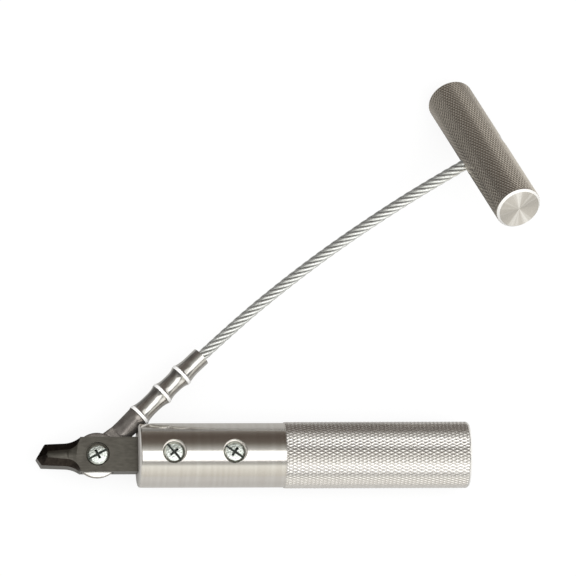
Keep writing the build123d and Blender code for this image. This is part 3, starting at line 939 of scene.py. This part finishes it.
def pan_screw(head_height, steps):
    """Screw standing on its head's seat at z = 0, with a slot and a cross recess."""
    profile = [(head_height, 0), (head_height - TOP_DROP, TOP_R)]
    for a in (pi / 2 * k / 8 for k in range(9)):
        drop = CROWN + HEAD_ROUND * (1 - cos(a)) * ROUND_SQUASH
        profile.append((head_height - drop, HEAD_R - HEAD_ROUND * (1 - sin(a))))
    profile.append((0, HEAD_R))
    for low, radius in steps:
        start = profile[-1][0]
        profile += [(start, radius), (low, radius)]
    profile.append((profile[-1][0], 0))
    mesh = turned(profile, 72)
    mesh.transform(Matrix.Rotation(radians(-90), 4, "Y"))
    screw = new_object("screw", mesh)
    top = head_height + 1
    recesses = [prism(rectangle(-5, 5, SLOT_HALF), head_height - SLOT_DEPTH, top)]
    for wide, narrow in ((CROSS_LONG, CROSS_HALF), (CROSS_HALF, CROSS_LONG)):
        bar = prism(rectangle(-wide, wide, narrow), head_height - CROSS_DEPTH, top)
        for vertex in bar.vertices:
            if vertex.co.z < head_height:
                vertex.co.x *= CROSS_TAPER
                vertex.co.y *= CROSS_TAPER
        recesses.append(bar)
    cut(screw, recesses)
    break_edges(screw, 0.13, 40)
    shade(screw.data, 28)
    # The faces inside the slot and the cross get the painted shade.
    recess = screw.data.attributes.new("recess", "BOOLEAN", "FACE")
    for face in screw.data.polygons:
        over, across = abs(face.center.x), abs(face.center.y)
        in_recess = across < 0.45 or (over < 0.6 and across < 2.4)
        recess.data[face.index].value = in_recess and 0 < face.center.z < head_height - 0.35
    return screw


screw_row, sizes = node_tree(
    "screw_row",
    (
        ("Screw", "Object", None),
        ("Count", "Int", 1),
        ("Start", "Vector", (0.0, 0.0, 0.0)),
        ("Step", "Vector", (0.0, 0.0, 0.0)),
        ("First Slot Turn", "Float", 0.0),
        ("Slot Turn Step", "Float", 0.0),
        ("Material", "Material", None),
        ("Slot Material", "Material", None),
    ),
)
tree = screw_row
row = add_node(
    tree,
    "GeometryNodeMeshLine",
    {"Count": sizes["Count"], "Start Location": sizes["Start"], "Offset": sizes["Step"]},
)
number = add_node(tree, "GeometryNodeInputIndex")
turn = add_node(
    tree,
    "ShaderNodeMath",
    {0: number, 1: sizes["Slot Turn Step"], 2: sizes["First Slot Turn"]},
    operation="MULTIPLY_ADD",
)
turn = add_node(tree, "ShaderNodeCombineXYZ", {"Z": turn})
one = add_node(
    tree, "GeometryNodeObjectInfo", {"Object": sizes["Screw"]}, transform_space="ORIGINAL"
).outputs["Geometry"]
placed = add_node(
    tree, "GeometryNodeInstanceOnPoints", {"Points": row, "Instance": one, "Rotation": turn}
)
recess = add_node(
    tree, "GeometryNodeInputNamedAttribute", {"Name": "recess"}, data_type="BOOLEAN"
)
end_tree(tree, sizes, placed, [(recess, "Slot Material")])

screw_pieces = []
for name, head_height, steps, values in (
    (
        "handle_screw_heads",
        2.9,
        ((-18.0, SCREW_R),),
        {
            "Count": 2,
            "Start": (X_FRONT + SCREW_PLACES[0], 0.0, SCREW_SEAT),
            "Step": (SCREW_PLACES[1] - SCREW_PLACES[0], 0.0, 0.0),
            "First Slot Turn": radians(-50),
            "Slot Turn Step": radians(15),
        },
    ),
    (
        "pivot_screw_head",
        2.0,
        ((-4.6, 3.0), (-7.2, SCREW_R)),
        {"Start": (X_PIVOT, 0.0, PIVOT_SEAT), "First Slot Turn": radians(28)},
    ),
):
    screw = pan_screw(head_height, steps)
    values |= {"Screw": screw, "Material": zinc_plated_steel, "Slot Material": zinc_recess_shade}
    mesh = grow(name, screw_row, values)
    bpy.data.objects.remove(screw)
    to_metres(mesh)
    screw_pieces.append(new_object(name, mesh))
handle_screws, pivot_screw = screw_pieces

# ---- floor ----
FLOOR_Z = -14.2 * MM
FLOOR_HALF = 4
corners = ((-1, -1), (1, -1), (1, 1), (-1, 1))
floor_mesh = bpy.data.meshes.new("floor")
floor_mesh.from_pydata(
    [(x * FLOOR_HALF, y * FLOOR_HALF, FLOOR_Z) for x, y in corners], [], [(0, 1, 2, 3)]
)
pale_floor = bpy.data.materials.new("pale_floor")
pale_floor.use_nodes = True
tree = pale_floor.node_tree
tree.nodes.clear()
place = add_node(tree, "ShaderNodeTexCoord").outputs["Object"]
spot = add_node(tree, "ShaderNodeSeparateXYZ", {0: place}).outputs
under = add_node(
    tree, "ShaderNodeVectorMath", {0: place, 1: (0.022, 0.112, 0.0)}, operation="DISTANCE"
).outputs["Value"]
near = add_node(tree, "ShaderNodeAmbientOcclusion", {"Distance": 0.012}, samples=4).outputs["AO"]
# How bright the floor looks in the metal, painted light and shade: pale in front, dimmer behind
# and farther away, dim behind the head, bright past the handle's rear, and painted shadow under
# the pull handle and close to whatever lies on it. Each is a smooth step of a place or a distance.
steps = {}
for name, value, start, end, low, high in (
    ("front", spot["Y"], -0.08, -0.02, 0.72, 0.62),
    ("behind", spot["Y"], 0.05, 0.12, 0.54, 0.42),
    ("far left", spot["Y"], 0.11, 0.17, 1.0, 0.6),
    ("far right", spot["Y"], 0.185, 0.215, 1.0, 0.85),
    ("on the right", spot["X"], -0.03, 0.0, 0.0, 1.0),
    ("head", spot["X"], -0.125, -0.095, 0.2, 1.0),
    ("rear end", spot["X"], 0.05, 0.085, 1.0, 2.0),
    ("pull handle", under, 0.015, 0.04, 0.12, 1.0),
    ("in the back", spot["Y"], -0.005, 0.02, 0.0, 1.0),
    ("close", near, 0.0, 0.9, 0.25, 1.0),
):
    steps[name] = add_node(
        tree,
        "ShaderNodeMapRange",
        {0: value, "From Min": start, "From Max": end, "To Min": low, "To Max": high},
        interpolation_type="SMOOTHSTEP",
    )
level = steps["behind"]
far = add_node(
    tree,
    "ShaderNodeMix",
    {"Factor": steps["on the right"], 2: steps["far left"], 3: steps["far right"]},
    data_type="FLOAT",
)
for factor in (far, steps["head"], steps["rear end"], steps["pull handle"]):
    level = add_node(tree, "ShaderNodeMath", {0: level, 1: factor}, operation="MULTIPLY")
level = add_node(
    tree,
    "ShaderNodeMix",
    {"Factor": steps["in the back"], 2: steps["front"], 3: level},
    data_type="FLOAT",
)
level = add_node(tree, "ShaderNodeMath", {0: level, 1: steps["close"]}, operation="MULTIPLY")
seen = add_node(tree, "ShaderNodeEmission", {"Color": (1.0, 0.985, 0.96, 1.0), "Strength": level})
paint = add_node(tree, "ShaderNodeBsdfDiffuse", {"Color": linear("#757575")})
own = add_node(tree, "ShaderNodeEmission", {"Color": (1, 1, 1, 1), "Strength": 0.83})
white_paint = add_node(tree, "ShaderNodeAddShader", {0: paint, 1: own})
path = add_node(tree, "ShaderNodeLightPath").outputs
look = paint
for ray, shown in (("Is Glossy Ray", seen), ("Is Camera Ray", white_paint)):
    look = add_node(tree, "ShaderNodeMixShader", {0: path[ray], 1: look, 2: shown})
add_node(tree, "ShaderNodeOutputMaterial", {"Surface": look})
new_object("floor", floor_mesh, [pale_floor])

# ---- the room, which only the metal sees, and the softbox ----
world = bpy.data.worlds.new("studio")
scene.world = world
world.use_nodes = True
tree = world.node_tree
tree.nodes.clear()
way = add_node(tree, "ShaderNodeTexCoord").outputs["Generated"]
split = add_node(tree, "ShaderNodeSeparateXYZ", {0: way}).outputs
# The room from front to back, by the angle from overhead: pale wall, softbox, dark wall.
lean = add_node(tree, "ShaderNodeMath", {0: split["Y"], 1: split["Z"]}, operation="ARCTAN2")
lean = add_node(tree, "ShaderNodeMapRange", {0: lean, "From Min": -pi, "From Max": pi})
ramp = add_node(tree, "ShaderNodeValToRGB", {0: lean})
stops = ramp.color_ramp.elements
while len(stops) > 1:
    stops.remove(stops[-1])
for number, (angle, tint, level) in enumerate(
    (
        (-180, "#FFFBF6", 0.70),
        (-92, "#FFFBF2", 0.70),
        (-81, "#FFFBF2", 0.74),
        (-66, "#FFFCF3", 0.82),
        (-49, "#FFFEF6", 0.92),
        (-45, "#FFFEF6", 0.88),
        (-41, "#F8F8F2", 0.44),
        (-34, "#F8F8F2", 0.46),
        (-30, "#F4F2EE", 0.22),
        (4, "#F4F2EE", 0.30),
        (8, "#F8F7F2", 0.58),
        (16, "#FAFAF5", 0.42),
        (23, "#FCF8EC", 0.27),
        (30, "#FFF5E4", 0.19),
        (38, "#FFEEDC", 0.137),
        (46, "#FFEAD8", 0.122),
        (55, "#FFE6D3", 0.107),
        (63, "#FFE6D3", 0.10),
        (72, "#FFEAD8", 0.12),
        (81, "#FFF0E2", 0.165),
        (91, "#FFF4E8", 0.25),
        (180, "#FFF4E8", 0.25),
    )
):
    stop = stops[0] if number == 0 else stops.new((angle + 180) / 360)
    stop.position = (angle + 180) / 360
    stop.color = (*[channel * level for channel in linear(tint)[:3]], 1.0)
# It is darker to the left. A second, smaller white panel stands to the right, beside the
# softbox, and the front wall has a tall bright strip.
off = add_node(tree, "ShaderNodeMath", {0: split["Y"], 1: split["X"]}, operation="ARCTAN2")
for operation, other in (("SUBTRACT", radians(-58)), ("ABSOLUTE", 0.0)):
    off = add_node(tree, "ShaderNodeMath", {0: off, 1: other}, operation=operation)
edges = [
    add_node(
        tree,
        "ShaderNodeMapRange",
        {0: value, "From Min": start, "From Max": end, "To Min": low, "To Max": high},
        interpolation_type=form,
    )
    for value, start, end, low, high, form in (
        (split["X"], -0.75, -0.3, 0.35, 1.0, "SMOOTHSTEP"),
        (split["X"], 0.24, 0.36, 0.0, 1.0, "SMOOTHSTEP"),
        (lean, 0.5, 0.52, 0.0, 1.0, "SMOOTHSTEP"),
        (lean, 0.56, 0.61, 1.0, 0.0, "SMOOTHSTEP"),
        (off, radians(8), radians(16), 1.0, 0.0, "SMOOTHSTEP"),
        (split["Z"], 0.6, 0.85, 1.0, 0.0, "LINEAR"),
    )
]
room = add_node(tree, "ShaderNodeVectorMath", {0: ramp, 3: edges[0]}, operation="SCALE")
for (share, *others), colour in (
    (edges[1:4], (1.2, 1.19, 1.16, 1.0)),
    (edges[4:], (1.35, 1.33, 1.3, 1.0)),
):
    for edge in others:
        share = add_node(tree, "ShaderNodeMath", {0: share, 1: edge}, operation="MULTIPLY")
    room = add_node(
        tree, "ShaderNodeMix", {"Factor": share, 6: room, 7: colour}, data_type="RGBA"
    ).outputs[2]
# Light that falls on the object is plain, metal shows the room, and the camera sees white.
path = add_node(tree, "ShaderNodeLightPath").outputs
white = linear("#FFFFFF")
plain, around, seen = (
    add_node(tree, "ShaderNodeBackground", {"Color": colour, "Strength": strength})
    for colour, strength in ((white, 0.95), (room, 1.0), (white, 1.0))
)
look = plain
for ray, shown in (("Is Glossy Ray", around), ("Is Camera Ray", seen)):
    look = add_node(tree, "ShaderNodeMixShader", {0: path[ray], 1: look, 2: shown})
add_node(tree, "ShaderNodeOutputWorld", {"Surface": look})

RADIANCE = 1.6
softbox = bpy.data.lights.new("softbox", "AREA")
softbox.shape = "RECTANGLE"
softbox.size, softbox.size_y = 1.63, 0.845
softbox.energy = RADIANCE * pi * softbox.size * softbox.size_y
lamp = bpy.data.objects.new("softbox", softbox)
lamp.location = (0.485, -0.27, 1.18)
lamp.rotation_euler = (radians(-12.7), 0, 0)
scene.collection.objects.link(lamp)

# ---- what rides on what ----
for thing, body, node, slot in (
    (barrel, "handle", "handle_body", "turned_aluminium"),
    (grip, "handle", "handle_body", "turned_aluminium"),
    (head, "handle", "cutter_head", "black_steel"),
    (handle_screws, "handle", "handle_screws", "zinc_steel"),
    (pivot_screw, "handle", "pivot_screw", "zinc_steel"),
    (sleeve, "rope", "ferrule", "nickel_steel"),
    (eye, "rope", "rope_eye", "nickel_steel"),
    (wire_rope, "rope", "wire_rope", "rope_wire"),
    (rope_stop, "rope", "rope_stop", "nickel_steel"),
    (pull_bar, "pull", "pull_handle", "turned_aluminium"),
):
    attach(thing, body)
    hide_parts(node)
